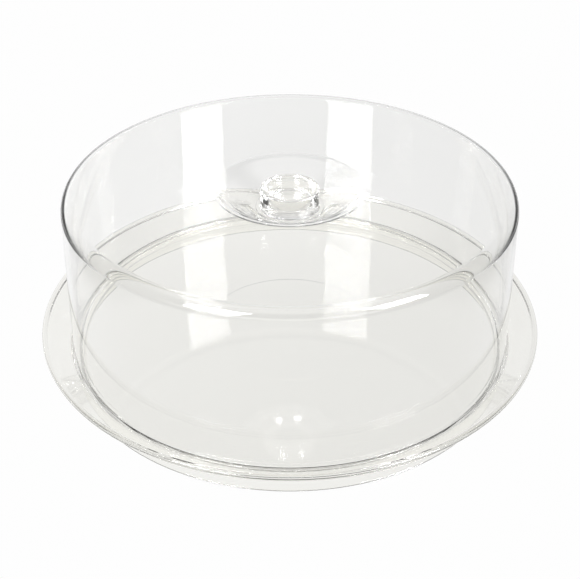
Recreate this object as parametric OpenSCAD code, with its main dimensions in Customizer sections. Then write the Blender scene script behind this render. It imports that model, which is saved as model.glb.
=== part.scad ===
// Round covered tray in clear plastic: a footed tray with an upturned brim,
// a loose cover that stands on the tray's ledge, and a hollow finger knob
// that stands in a bell-shaped recess at the middle of the cover.
// Origin: the centre of the foot ring, on the surface that the tray stands on.

/* [Tray] */
// Outer diameter of the brim
tray_d = 350; // [346:1:380]
// Height of the brim's lip above the table
tray_h = 30.6; // [28:0.1:34]
// Wall thickness of the tray
tray_wall = 2.6; // [2.2:0.1:3]
// Height of the tray's floor above the table
floor_z = 13.5; // [11:0.5:14]
// Diameter of the tray's flat floor
floor_d = 295.2; // [285:0.2:296]
// Width of the riser between the floor and the ledge
riser_w = 1.1; // [0.8:0.1:3]
// Height of the ledge that the cover stands on
ledge_z = 18.2; // [18:0.1:20]
// Width of the ledge
ledge_w = 6.9; // [6.8:0.1:8]
// Width of the lip's flat top
lip_w = 2.8; // [2.4:0.1:4]
// Height of the lip's outer edge
lip_h = 3.7; // [3.4:0.1:5]
// Thickness of the foot ring at the table
foot_wall = 2.4; // [2:0.1:3]
// Diameter of the shallow disc moulded under the floor
disc_d = 120; // [100:1:140]
// Depth of the disc under the floor
disc_depth = 0.15; // [0.1:0.05:0.5]

/* [Cover] */
// Outer diameter of the cover's mouth
cover_d = 309.6; // [308:0.1:310]
// Height of the cover from the ledge to its top
cover_h = 112.9; // [100:0.1:140]
// Wall thickness of the cover
cover_wall = 2.4; // [2:0.1:2.8]
// Draft of the cover's side wall, in degrees
cover_draft = 1.9; // [1:0.1:3]
// Radius of the cover's top corner
corner_r = 8; // [5:0.5:12]
// Fall of the top panel from the corner to the recess
panel_fall = 3.6; // [1:0.1:4]

/* [Recess and knob] */
// Diameter of the recess around the knob
recess_d = 102; // [95:1:115]
// Diameter of the recess's flat bottom
recess_flat_d = 50.4; // [48:0.2:56]
// Depth of the recess below the top panel
recess_depth = 15; // [12:0.5:18]
// Outer diameter of the knob
knob_d = 39.4; // [34:0.1:42]
// Diameter of the flare at the knob's base
knob_base_d = 46.4; // [44:0.1:47]
// Height of the knob above the bottom of the recess
knob_h = 14.7; // [12:0.1:20]
// Inner diameter of the knob's mouth
knob_bore_d = 33.2; // [26:0.1:34]
// Depth of the knob's hollow
knob_bore_depth = 10.2; // [8:0.1:11]

/* [Hidden] */
$fn = 96;

arc_step = 6;         // largest turn between two points of a rounded corner, in degrees
least_round = 0.8;    // smallest rounding inside a bent wall
disc_slope = 1.5;     // width of the slope round the disc
clear_plastic = [0.9, 0.92, 0.91, 0.35];

ledge_d = floor_d + 2 * riser_w;               // inner edge of the ledge
seat_d = ledge_d + 2 * ledge_w;                // where the ledge ends and the brim starts
foot_d = seat_d;                               // the foot ring stands under the ledge's outer edge
foot_top_z = ledge_z - tray_wall + 0.4;        // where the foot ring meets the brim's underside
under_z = floor_z - tray_wall;                 // underside of the floor
cover_top_z = ledge_z + cover_h;
panel_z = cover_top_z - panel_fall;            // height of the top panel at the recess
recess_z = panel_z - recess_depth;             // bottom of the recess, where the knob stands
knob_top_z = recess_z + knob_h;
bore_z = knob_top_z - knob_bore_depth;

// Outlines. A point is [radius, height, rounding]; rounding 0 is a sharp corner.

function flat(p) = [p.x, p.y];
function unit(v) = v / norm(v);
function left_of(v) = [-v.y, v.x];
function at_height(p, q, z) = [p.x + (q.x - p.x) * (z - p.y) / (q.y - p.y), z];

// Points that round the corner b between its neighbours a and c.
function corner(a, b, c) =
    b[2] == 0 ? [flat(b)] :
    let (u = unit(flat(a) - flat(b)), v = unit(flat(c) - flat(b)),
         half = acos(u * v) / 2,
         centre = flat(b) + unit(u + v) * b[2] / sin(half),
         first = flat(b) + u * b[2] / tan(half) - centre,
         start = atan2(first.y, first.x),
         sweep = (180 - 2 * half) * sign(cross(v, u)),
         steps = ceil(abs(sweep) / arc_step))
    [for (i = [0:steps]) centre + b[2] * [cos(start + sweep * i / steps), sin(start + sweep * i / steps)]];

// A closed outline with its corners rounded.
function rounded(p) = let (n = len(p))
    [for (i = [0:n - 1]) each corner(p[(i + n - 1) % n], p[i], p[(i + 1) % n])];

// The same path moved left by t, with each rounding kept concentric.
function moved(p, t) = let (n = len(p)) [for (i = [0:n - 1])
    let (before = unit(flat(p[max(i, 1)]) - flat(p[max(i, 1) - 1])),
         after = unit(flat(p[min(i + 1, n - 1)]) - flat(p[min(i + 1, n - 1) - 1])),
         side = unit(left_of(before) + left_of(after)),
         q = flat(p[i]) + side * t / (side * left_of(before)),
         way = sign(cross(before, after)))
    [q.x, q.y, p[i][2] == 0 ? 0 : max(p[i][2] - t * way, least_round)]];

// The path p and the path q walked back, as one closed outline.
function between(p, q) = rounded(concat(p, [for (i = [len(q) - 1:-1:0]) q[i]]));

// Sub-parts

tray_top = [
    [0, floor_z, 0],
    [floor_d / 2, floor_z, 1.6],                   // edge of the floor
    [ledge_d / 2, ledge_z, 1],                     // inner edge of the ledge
    [seat_d / 2, ledge_z, 1],                      // foot of the brim
    [tray_d / 2 - lip_w, tray_h, 1]                // top of the brim
];
tray_under = moved(tray_top, -tray_wall);

lip = [
    [tray_d / 2, tray_h, 1.6],
    [tray_d / 2, tray_h - lip_h, 1.6],
    concat(at_height(tray_under[3], tray_under[4], tray_h - lip_h), 1)
];

foot = [
    concat(at_height(tray_under[3], tray_under[4], foot_top_z), 1.5),
    [foot_d / 2, 0, 0.6],
    [foot_d / 2 - foot_wall, 0, 0.6],
    [foot_d / 2 - foot_wall - 0.6, ledge_z - tray_wall, 1]
];

disc = [
    [0, under_z + disc_depth, 0],
    [disc_d / 2, under_z + disc_depth, 3],
    [disc_d / 2 + disc_slope, under_z, 3]
];

module tray() {
    under = concat(disc, [tray_under[1], tray_under[2]]);
    color(clear_plastic) rotate_extrude() polygon(between(concat(tray_top, lip, foot), under));
}

// The bell of the recess, from its rim to its flat bottom:
// [share of the way in, share of the way down, rounding].
bell = [
    [0, 0, 3],
    [0.147, 0.053, 14],
    [0.329, 0.187, 14],
    [0.562, 0.427, 14],
    [0.814, 0.733, 12],
    [1, 1, 5]
];

cover_outside = [
    [cover_d / 2, ledge_z, 0.8],                   // rim of the mouth
    [cover_d / 2 - cover_h * tan(cover_draft), cover_top_z, corner_r],
    for (b = bell) [(recess_d + (recess_flat_d - recess_d) * b[0]) / 2, panel_z - recess_depth * b[1], b[2]],
    [0, recess_z, 0]
];
cover_inside = moved(cover_outside, cover_wall);

module cover() {
    mouth = concat(at_height(cover_inside[0], cover_inside[1], ledge_z), 0.8);
    inside = [mouth, for (i = [1:len(cover_inside) - 1]) cover_inside[i]];
    color(clear_plastic) rotate_extrude() polygon(between(cover_outside, inside));
}

knob_outline = [
    [0, recess_z, 0],
    [knob_base_d / 2, recess_z, 0],
    [knob_base_d / 2, recess_z + 0.8, 0.3],        // rim of the flare
    [knob_d / 2, recess_z + 0.8, 0.8],
    [knob_d / 2, knob_top_z, 0.9],
    [knob_bore_d / 2, knob_top_z, 0.9],
    [knob_bore_d / 2 - 1.2, bore_z, 1.6],
    [0, bore_z, 0]
];

module knob() {
    color(clear_plastic) rotate_extrude() polygon(rounded(knob_outline));
}

tray();
cover();
knob();
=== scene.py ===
import math
import bmesh
import bpy
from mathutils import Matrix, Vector


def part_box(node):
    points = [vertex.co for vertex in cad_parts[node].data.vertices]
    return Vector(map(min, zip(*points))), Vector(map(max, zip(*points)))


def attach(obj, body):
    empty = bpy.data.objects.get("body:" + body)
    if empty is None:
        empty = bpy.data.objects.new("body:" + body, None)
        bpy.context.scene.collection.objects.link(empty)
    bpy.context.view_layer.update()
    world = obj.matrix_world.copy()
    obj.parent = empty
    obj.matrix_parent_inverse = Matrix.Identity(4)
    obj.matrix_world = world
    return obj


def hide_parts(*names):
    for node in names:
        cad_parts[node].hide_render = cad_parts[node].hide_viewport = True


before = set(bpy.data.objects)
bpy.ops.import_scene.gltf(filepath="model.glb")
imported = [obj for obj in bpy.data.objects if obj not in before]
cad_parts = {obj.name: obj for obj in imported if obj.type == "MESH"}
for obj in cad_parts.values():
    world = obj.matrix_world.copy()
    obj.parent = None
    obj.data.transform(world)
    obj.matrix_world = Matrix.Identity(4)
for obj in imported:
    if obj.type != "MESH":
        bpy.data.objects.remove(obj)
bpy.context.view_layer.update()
print("frame loaded")

# every piece is round, so it is pulled out of one circle, ring by ring
rings = {
    "around": 240,          # vertices in every ring
    "reach": 2e-5,          # how far off a ring a vertex may lie and still count
    "stepDegrees": 9,       # turn of one bevel segment
    "fewestSegments": 3,
    "leastRound": 0.0008,   # smallest rounding inside a bent wall
    "mergeGap": 1e-6,
}


def deselectAll():
    if bpy.context.object and bpy.context.object.mode != "OBJECT":
        bpy.ops.object.mode_set(mode="OBJECT")
    bpy.ops.object.select_all(action="DESELECT")


def startRing(name, radius, height):
    # the first circle of a piece, left selected in edit mode
    deselectAll()
    bpy.ops.mesh.primitive_circle_add(vertices=rings["around"], radius=radius, fill_type="NOTHING",
                                      location=(0, 0, height))
    piece = bpy.context.object
    piece.name = name
    piece.data.name = name
    bpy.ops.object.transform_apply(location=True, rotation=True, scale=True)
    bpy.ops.object.mode_set(mode="EDIT")
    bpy.ops.mesh.select_mode(type="VERT")
    bpy.ops.mesh.select_all(action="SELECT")
    return piece


def pullRing(here, there):
    # extrudes the selected ring from one (radius, height) to the next
    bpy.ops.mesh.extrude_region_move(TRANSFORM_OT_translate={"value": (0, 0, there[1] - here[1])})
    grow = there[0] / here[0]
    bpy.ops.transform.resize(value=(grow, grow, 1), center_override=(0, 0, 0))


def selectRing(piece, radius, height):
    # selects the vertices that lie on one ring
    bpy.ops.mesh.select_all(action="DESELECT")
    shape = bmesh.from_edit_mesh(piece.data)
    for vert in shape.verts:
        off = math.hypot(math.hypot(vert.co.x, vert.co.y) - radius, vert.co.z - height)
        vert.select = off < rings["reach"]
    shape.select_flush(True)
    bmesh.update_edit_mesh(piece.data)


def roundRing(piece, before, ring, after):
    # bevels a ring so that the corner gets the radius ring[2]
    radius, height, rounding = ring
    if rounding == 0:
        return
    a = Vector((before[0] - radius, before[1] - height)).normalized()
    b = Vector((after[0] - radius, after[1] - height)).normalized()
    turn = math.pi - a.angle(b)
    selectRing(piece, radius, height)
    segments = max(rings["fewestSegments"], round(math.degrees(turn) / rings["stepDegrees"]))
    bpy.ops.mesh.bevel(offset=rounding * math.tan(turn / 2), offset_type="OFFSET",
                       segments=segments, profile=0.5, affect="EDGES")


def turnPiece(name, outline):
    # pulls the whole outline of (radius, height, rounding) rings, then rounds its corners
    piece = startRing(name, outline[0][0], outline[0][1])
    for here, there in zip(outline, outline[1:]):
        pullRing(here, there)
    for before, ring, after in zip(outline, outline[1:], outline[2:]):
        roundRing(piece, before, ring, after)
    return piece


def closePole(piece, radius, height):
    # closes the innermost ring with a fan to the axis
    selectRing(piece, radius, height)
    bpy.ops.mesh.edge_face_add()
    bpy.ops.mesh.poke()


def offsetOutline(outline, distance):
    # the same outline moved inwards by a wall's thickness, its roundings kept concentric
    moved = []
    last = len(outline) - 1
    for i, (radius, height, rounding) in enumerate(outline):
        a = outline[max(i, 1) - 1]
        b = outline[max(i, 1)]
        c = outline[min(i + 1, last) - 1]
        d = outline[min(i + 1, last)]
        before = Vector((b[0] - a[0], b[1] - a[1])).normalized()
        after = Vector((d[0] - c[0], d[1] - c[1])).normalized()
        left = Vector((-before.y, before.x))
        side = (left + Vector((-after.y, after.x))).normalized()
        point = Vector((radius, height)) + side * distance / side.dot(left)
        turn = before.x * after.y - before.y * after.x
        if rounding:
            rounding = max(rounding - math.copysign(distance, turn), rings["leastRound"])
        moved.append((point.x, point.y, rounding))
    return moved


def atHeight(low, high, height):
    # the radius at a height, on the line between two rings
    share = (height - low[1]) / (high[1] - low[1])
    return low[0] + (high[0] - low[0]) * share


def finishPiece(piece, body, slot, *nodes):
    deselectAll()
    piece.select_set(True)
    bpy.context.view_layer.objects.active = piece
    bpy.ops.object.mode_set(mode="EDIT")
    bpy.ops.mesh.select_all(action="SELECT")
    bpy.ops.mesh.remove_doubles(threshold=rings["mergeGap"])
    bpy.ops.mesh.normals_make_consistent(inside=False)
    bpy.ops.object.mode_set(mode="OBJECT")
    bpy.ops.object.shade_smooth()
    weighted = piece.modifiers.new("weighted", "WEIGHTED_NORMAL")
    weighted.keep_sharp = False
    bpy.ops.object.modifier_apply(modifier=weighted.name)
    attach(piece, body)
    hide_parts(*nodes)


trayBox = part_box("tray")
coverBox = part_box("cover")
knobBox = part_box("knob")

tray = {
    "brim": trayBox[1].x,
    "lipTop": trayBox[1].z,
    "wall": 0.0026,
    "floorTop": 0.0135,
    "floorEdge": 0.1476,
    "floorRound": 0.0016,
    "ledge": coverBox[0].z,
    "ledgeEdge": 0.1487,
    "seat": 0.1556,
    "bendRound": 0.001,    # rounding of the ledge's edges and of the brim's top
    "lipWidth": 0.0028,
    "lipHeight": 0.0037,
    "lipRound": 0.0016,
    "footWall": 0.0024,
    "footRound": 0.0006,
    "footTaper": 0.0006,
    "footLap": 0.0004,     # how far the foot ring runs up the brim
    "footJoinRound": 0.0015,
    "disc": 0.060,         # shallow moulded recess under the floor
    "discDepth": 0.00015,
    "discSlope": 0.0015,
    "discRound": 0.003,
    "pole": 0.004,         # innermost ring
}


def makeTray(t):
    bend = t["bendRound"]
    top = [
        (t["pole"], t["floorTop"], 0),
        (t["floorEdge"], t["floorTop"], t["floorRound"]),
        (t["ledgeEdge"], t["ledge"], bend),
        (t["seat"], t["ledge"], bend),
        (t["brim"] - t["lipWidth"], t["lipTop"], bend),
    ]
    under = offsetOutline(top, -t["wall"])
    floorUnder = under[0][1]
    discTop = floorUnder + t["discDepth"]
    lipBottom = t["lipTop"] - t["lipHeight"]
    ledgeUnder = t["ledge"] - t["wall"]
    footTop = ledgeUnder + t["footLap"]
    footInner = t["seat"] - t["footWall"]
    outline = top + [
        (t["brim"], t["lipTop"], t["lipRound"]),
        (t["brim"], lipBottom, t["lipRound"]),
        (atHeight(under[3], under[4], lipBottom), lipBottom, bend),
        (atHeight(under[3], under[4], footTop), footTop, t["footJoinRound"]),
        (t["seat"], 0, t["footRound"]),
        (footInner, 0, t["footRound"]),
        (footInner - t["footTaper"], ledgeUnder, bend),
        under[2],
        under[1],
        (t["disc"] + t["discSlope"], floorUnder, t["discRound"]),
        (t["disc"], discTop, t["discRound"]),
        (t["pole"], discTop, 0),
    ]
    piece = turnPiece("clearTray", outline)
    closePole(piece, t["pole"], t["floorTop"])
    closePole(piece, t["pole"], discTop)
    return piece


cover = {
    "mouth": coverBox[1].x,
    "foot": coverBox[0].z,
    "restGap": 0.00004,    # air between the mouth and the ledge
    "top": 0.1311,
    "wall": 0.0024,
    "draft": math.radians(1.9),
    "corner": 0.008,
    "panelFall": 0.0036,
    "recess": [    # radius, depth below the panel, rounding
        (0.0510, 0.0000, 0.003),
        (0.0472, 0.0008, 0.014),
        (0.0425, 0.0028, 0.014),
        (0.0365, 0.0064, 0.014),
        (0.0300, 0.0110, 0.012),
        (0.0252, 0.0150, 0.005),
    ],
    "mouthRim": 0.0008,
    "pole": 0.004,
}


def makeCover(c):
    foot = c["foot"] + c["restGap"]
    panel = c["top"] - c["panelFall"]
    bottom = panel - c["recess"][-1][1]
    outside = [
        (c["mouth"], foot, c["mouthRim"]),
        (c["mouth"] - (c["top"] - c["foot"]) * math.tan(c["draft"]), c["top"], c["corner"]),
    ]
    for radius, depth, rounding in c["recess"]:
        outside.append((radius, panel - depth, rounding))
    outside.append((c["pole"], bottom, 0))
    inside = offsetOutline(outside, c["wall"])
    inside[0] = (atHeight(inside[0], inside[1], foot), foot, c["mouthRim"])
    inside[-1] = (c["pole"], inside[-1][1], 0)
    piece = turnPiece("clearCover", outside[::-1] + inside)
    closePole(piece, c["pole"], bottom)
    closePole(piece, c["pole"], inside[-1][1])
    return piece


knob = {
    "base": knobBox[1].x,
    "foot": knobBox[0].z,
    "top": knobBox[1].z,
    "outer": 0.0197,
    "bore": 0.0166,
    "boreFloor": knobBox[1].z - 0.0102,
    "boreTaper": 0.0012,
    "boreRound": 0.0016,
    "mouthRound": 0.0009,
    "flare": 0.0008,
    "flareRim": 0.0003,
    "flareJoin": 0.0008,   # rounding where the flare meets the wall
    "restGap": 0.00004,    # air film under the foot
    "pole": 0.003,
}


def makeKnob(k):
    foot = k["foot"] + k["restGap"]
    flareTop = k["foot"] + k["flare"]
    outline = [
        (k["pole"], foot, 0),
        (k["base"], foot, 0),
        (k["base"], flareTop, k["flareRim"]),
        (k["outer"], flareTop, k["flareJoin"]),
        (k["outer"], k["top"], k["mouthRound"]),
        (k["bore"], k["top"], k["mouthRound"]),
        (k["bore"] - k["boreTaper"], k["boreFloor"], k["boreRound"]),
        (k["pole"], k["boreFloor"], 0),
    ]
    piece = turnPiece("clearKnob", outline)
    closePole(piece, k["pole"], foot)
    closePole(piece, k["pole"], k["boreFloor"])
    return piece


class Flow:
    # wraps a shader socket, so that sums written with it become Math nodes
    def __init__(self, tree, socket=None):
        self.tree = tree
        self.socket = socket

    def add(self, kind, settings=None, values=None, out=0):
        # any node: its settings first, then the values or links of its sockets
        node = self.tree.nodes.new(kind)
        for name, setting in (settings or {}).items():
            setattr(node, name, setting)
        for name, value in (values or {}).items():
            if isinstance(value, Flow):
                self.tree.links.new(value.socket, node.inputs[name])
            else:
                node.inputs[name].default_value = value
        return None if out is None else Flow(self.tree, node.outputs[out])

    def math(self, operation, *values):
        return self.add("ShaderNodeMath", {"operation": operation}, dict(enumerate(values)))

    def __add__(self, other):
        return self.math("ADD", self, other)

    def __radd__(self, other):
        return self.math("ADD", other, self)

    def __sub__(self, other):
        return self.math("SUBTRACT", self, other)

    def __rsub__(self, other):
        return self.math("SUBTRACT", other, self)

    def __mul__(self, other):
        return self.math("MULTIPLY", self, other)

    def __rmul__(self, other):
        return self.math("MULTIPLY", other, self)


def rise(flow, value, span, low, high):
    # a smooth step from low to high as the value crosses the span
    return flow.add("ShaderNodeMapRange", {"interpolation_type": "SMOOTHSTEP"},
                    {"Value": value, "From Min": span[0], "From Max": span[1],
                     "To Min": low, "To Max": high})


plastics = {
    "tray": {
        "colour": (0.975, 0.97, 0.935),
        "dusty": (0.86, 0.85, 0.81),
        "wave": 0.5,
        "scratch": 0.30,
        "handling": 0.0,
    },
    "cover": {
        "colour": (0.985, 0.985, 0.98),
        "dusty": (0.90, 0.90, 0.89),
        "wave": 0.5,
        "scratch": 0.18,
        "handling": 0.0,
    },
    "knob": {
        "colour": (0.985, 0.985, 0.98),
        "dusty": (0.90, 0.90, 0.89),
        "wave": 0.3,
        "scratch": 0.22,
        "handling": 1.0,
    },
}

wear = {
    "hairs": [    # turn, scale across, scale along, threshold
        ((0.3, 0.2, 0.5), 1900.0, 34.0, 0.69),
        ((0.1, 0.5, 2.1), 1700.0, 42.0, 0.70),
        ((0.6, 0.1, 1.2), 2100.0, 26.0, 0.71),
    ],
    "hairSoft": 0.03,
    "wornScale": 14.0,          # patches where the hairlines gather
    "wornSpan": (0.46, 0.64),
    "speckScale": 95.0,
    "speckSpan": (0.05, 0.03),
    "pickScale": 60.0,          # leaves out most of the specks
    "pickSpan": (0.60, 0.64),
    "smearScale": 70.0,
    "smearSpan": (0.50, 0.68),
    "waveScale": 22.0,
    "polish": 0.004,            # roughness of the clean plastic
    "hairRough": 0.25,
    "speckRough": 0.30,
    "smearRough": 0.07,
    "hairDepth": -0.02,
    "speckHeight": 0.02,
    "bumpDistance": 0.00012,
    "density": 1.5,             # index of refraction
}


def streaks(flow, place, turn, across, along, threshold):
    # thin hairlines: noise stretched along one direction, cut to its highest values
    turned = flow.add("ShaderNodeMapping", {},
                      {"Vector": place, "Rotation": turn, "Scale": (across, along, along)})
    noise = flow.add("ShaderNodeTexNoise", {"noise_dimensions": "3D"},
                     {"Vector": turned, "Scale": 1.0, "Detail": 1.0, "Roughness": 0.4})
    return rise(flow, noise, (threshold, threshold + wear["hairSoft"]), 0, 1)


def clearPlastic(name, p):
    # clear moulded plastic: slow waves of the mould, hairlines, specks of dust, finger marks
    material = bpy.data.materials.new(name)
    material.use_nodes = True
    tree = material.node_tree
    shader = tree.nodes["Principled BSDF"]
    shader.inputs["Transmission Weight"].default_value = 1
    shader.inputs["IOR"].default_value = wear["density"]
    flow = Flow(tree)
    place = flow.add("ShaderNodeTexCoord", out="Object")

    worn = flow.add("ShaderNodeTexNoise", {},
                    {"Vector": place, "Scale": wear["wornScale"], "Detail": 3.0})
    worn = rise(flow, worn, wear["wornSpan"], 0, 1)
    hairs = streaks(flow, place, *wear["hairs"][0])
    for hair in wear["hairs"][1:]:
        hairs = flow.math("MAXIMUM", hairs, streaks(flow, place, *hair))
    hairs = hairs * worn * p["scratch"]

    cells = flow.add("ShaderNodeTexVoronoi", {"feature": "F1"},
                     {"Vector": place, "Scale": wear["speckScale"]}, out="Distance")
    pick = flow.add("ShaderNodeTexNoise", {},
                    {"Vector": place, "Scale": wear["pickScale"], "Detail": 0.0})
    specks = rise(flow, cells, wear["speckSpan"], 0, 1) * rise(flow, pick, wear["pickSpan"], 0, 1)

    smear = flow.add("ShaderNodeTexNoise", {},
                     {"Vector": place, "Scale": wear["smearScale"], "Detail": 2.0, "Distortion": 0.8})
    smear = rise(flow, smear, wear["smearSpan"], 0, 1) * p["handling"]

    colour = flow.add("ShaderNodeMix", {"data_type": "RGBA"},
                      {"Factor": specks, "A": (*p["colour"], 1), "B": (*p["dusty"], 1)}, out="Result")
    rough = wear["polish"] + hairs * wear["hairRough"] + specks * wear["speckRough"]
    rough = rough + smear * wear["smearRough"]

    slow = flow.add("ShaderNodeTexNoise", {},
                    {"Vector": place, "Scale": wear["waveScale"], "Detail": 1.0})
    height = slow * p["wave"] + hairs * wear["hairDepth"] + specks * wear["speckHeight"]
    bump = flow.add("ShaderNodeBump", {},
                    {"Strength": 1.0, "Distance": wear["bumpDistance"], "Height": height}, out="Normal")
    tree.links.new(colour.socket, shader.inputs["Base Color"])
    tree.links.new(rough.socket, shader.inputs["Roughness"])
    tree.links.new(bump.socket, shader.inputs["Normal"])
    return material


trayPiece = makeTray(tray)
finishPiece(trayPiece, "tray", "tray_plastic", "tray")
coverPiece = makeCover(cover)
finishPiece(coverPiece, "cover", "cover_plastic", "cover")
knobPiece = makeKnob(knob)
finishPiece(knobPiece, "cover", "knob_plastic", "knob")
finishes = (
    (trayPiece, clearPlastic("clearTrayPlastic", plastics["tray"])),
    (coverPiece, clearPlastic("clearCoverPlastic", plastics["cover"])),
    (knobPiece, clearPlastic("clearKnobPlastic", plastics["knob"])),
)
for piece, material in finishes:
    piece.data.materials.clear()
    piece.data.materials.append(material)
print("pieces made")

studio = {
    "white": 0.99,          # backdrop and paper as the camera meets them
    "paper": 0.90,          # painted shade: the paper as it lights the plastic, dimmer than the white in place of the tray's shadow on it
    "paperShadeSkew": -0.15,     # painted shade: change of the paper's light per metre towards +X, darker on the right as if lit from the left
    "paperSkewReach": 0.4,
    "paperEdge": (0.26, 0.36),    # half-width of the lit paper
    "dark": 0.04,
    "backWall": 0.93,
    "backSkew": -0.25,      # the back wall is brighter on the left
    "backSpan": (0.25, 0.7),      # how far round the wall reaches
    "backTop": (0.42, 0.74),      # heights where it fades
    "frontGlow": 1.8,
    "frontSpan": (-0.4, -0.8),
    "frontTop": (0.15, 0.32),
    "ceiling": 0.9,
    "ceilingSpan": (0.75, 0.92),
    "boxRight": (52.5, 33, 0.80, 1.0, 20),    # azimuth, elevation, width, height, radiance
    "boxLeft": (-35.5, 33, 0.84, 1.0, 20),
    "boxDistance": 2.0,
    "boxAim": 0.05,         # height that the lamps are turned about
    "floorSize": 120,
    "floorGap": 0.0003,     # the floor lies this far below the foot
}

viewpoint = {
    "lens": 65.41,
    "sensor": 36,
    "place": (0.0001, -0.6223, 0.4633),
    "tilt": math.radians(56.08),
}

lightPaths = {
    "max_bounces": 32,
    "transmission_bounces": 32,
    "glossy_bounces": 16,
    "sample_clamp_indirect": 0,    # the lamps' double reflections keep their full light
}


def makeFloor(s):
    deselectAll()
    bpy.ops.mesh.primitive_plane_add(size=s["floorSize"], location=(0, 0, -s["floorGap"]))
    floor = bpy.context.object
    floor.name = "paleFloor"
    material = bpy.data.materials.new("palePaper")
    material.use_nodes = True
    tree = material.node_tree
    tree.nodes.clear()
    flow = Flow(tree)
    place = flow.add("ShaderNodeTexCoord", out="Object")
    ray = flow.add("ShaderNodeLightPath", out="Is Camera Ray")
    bounced = flow.add("ShaderNodeLightPath", out="Glossy Depth")
    across = flow.add("ShaderNodeSeparateXYZ", {}, {0: place}, out="X")
    unlit = rise(flow, flow.math("ABSOLUTE", across), s["paperEdge"], 0, 1)
    unlit = unlit * flow.math("MINIMUM", bounced, 1)
    # painted shade: the paper seen through the plastic is dimmer than the white and darker towards +X,
    # in place of the tray's shadow and the light from the left
    reach = s["paperSkewReach"]
    held = flow.math("MAXIMUM", flow.math("MINIMUM", across, reach), -reach)
    paper = s["paper"] + held * s["paperShadeSkew"]
    strength = paper + unlit * (s["dark"] - paper)
    strength = strength + ray * (s["white"] - strength)
    glow = flow.add("ShaderNodeEmission", {}, {"Color": (1, 1, 1, 1), "Strength": strength})
    flow.add("ShaderNodeOutputMaterial", {}, {"Surface": glow}, out=None)
    floor.data.materials.append(material)


def makeWorld(s):
    world = bpy.data.worlds.new("studio")
    bpy.context.scene.world = world
    world.use_nodes = True
    tree = world.node_tree
    tree.nodes.clear()
    flow = Flow(tree)
    place = flow.add("ShaderNodeTexCoord", out="Generated")
    across = flow.add("ShaderNodeSeparateXYZ", {}, {0: place}, out="X")
    depth = flow.add("ShaderNodeSeparateXYZ", {}, {0: place}, out="Y")
    up = flow.add("ShaderNodeSeparateXYZ", {}, {0: place}, out="Z")
    ray = flow.add("ShaderNodeLightPath", out="Is Camera Ray")
    back = rise(flow, depth, s["backSpan"], 0, s["backWall"]) * (1 + across * s["backSkew"])
    back = back * rise(flow, up, s["backTop"], 1, 0)
    front = rise(flow, depth, s["frontSpan"], 0, s["frontGlow"]) * rise(flow, up, s["frontTop"], 1, 0)
    overhead = rise(flow, up, s["ceilingSpan"], 0, s["ceiling"])
    strength = back + front + overhead + s["dark"]
    strength = strength + ray * (s["white"] - strength)
    sky = flow.add("ShaderNodeBackground", {}, {"Color": (1, 1, 1, 1), "Strength": strength})
    flow.add("ShaderNodeOutputWorld", {}, {"Surface": sky}, out=None)


def makeSoftbox(name, s):
    # azimuth is from straight in front of the tray, towards +X
    azimuth, elevation, width, height, radiance = s[name]
    az = math.radians(azimuth)
    el = math.radians(elevation)
    place = Vector((math.sin(az) * math.cos(el), -math.cos(az) * math.cos(el), math.sin(el)))
    data = bpy.data.lights.new(name, "AREA")
    data.shape = "RECTANGLE"
    data.size = width
    data.size_y = height
    data.energy = radiance * math.pi * width * height
    lamp = bpy.data.objects.new(name, data)
    bpy.context.collection.objects.link(lamp)
    lamp.location = place * s["boxDistance"] + Vector((0, 0, s["boxAim"]))
    lamp.rotation_euler = (-place).to_track_quat("-Z", "Y").to_euler()


def makeCamera(v):
    camera = bpy.data.objects.new("camera", bpy.data.cameras.new("camera"))
    bpy.context.collection.objects.link(camera)
    camera.data.lens = v["lens"]
    camera.data.sensor_width = v["sensor"]
    camera.location = v["place"]
    camera.rotation_euler = (v["tilt"], 0, 0)
    bpy.context.scene.camera = camera


makeFloor(studio)
makeWorld(studio)
makeSoftbox("boxRight", studio)
makeSoftbox("boxLeft", studio)
makeCamera(viewpoint)
bpy.context.scene.view_settings.view_transform = "Standard"
for name, limit in lightPaths.items():
    setattr(bpy.context.scene.cycles, name, limit)
print("stage set")

bpy.context.view_layer.update()
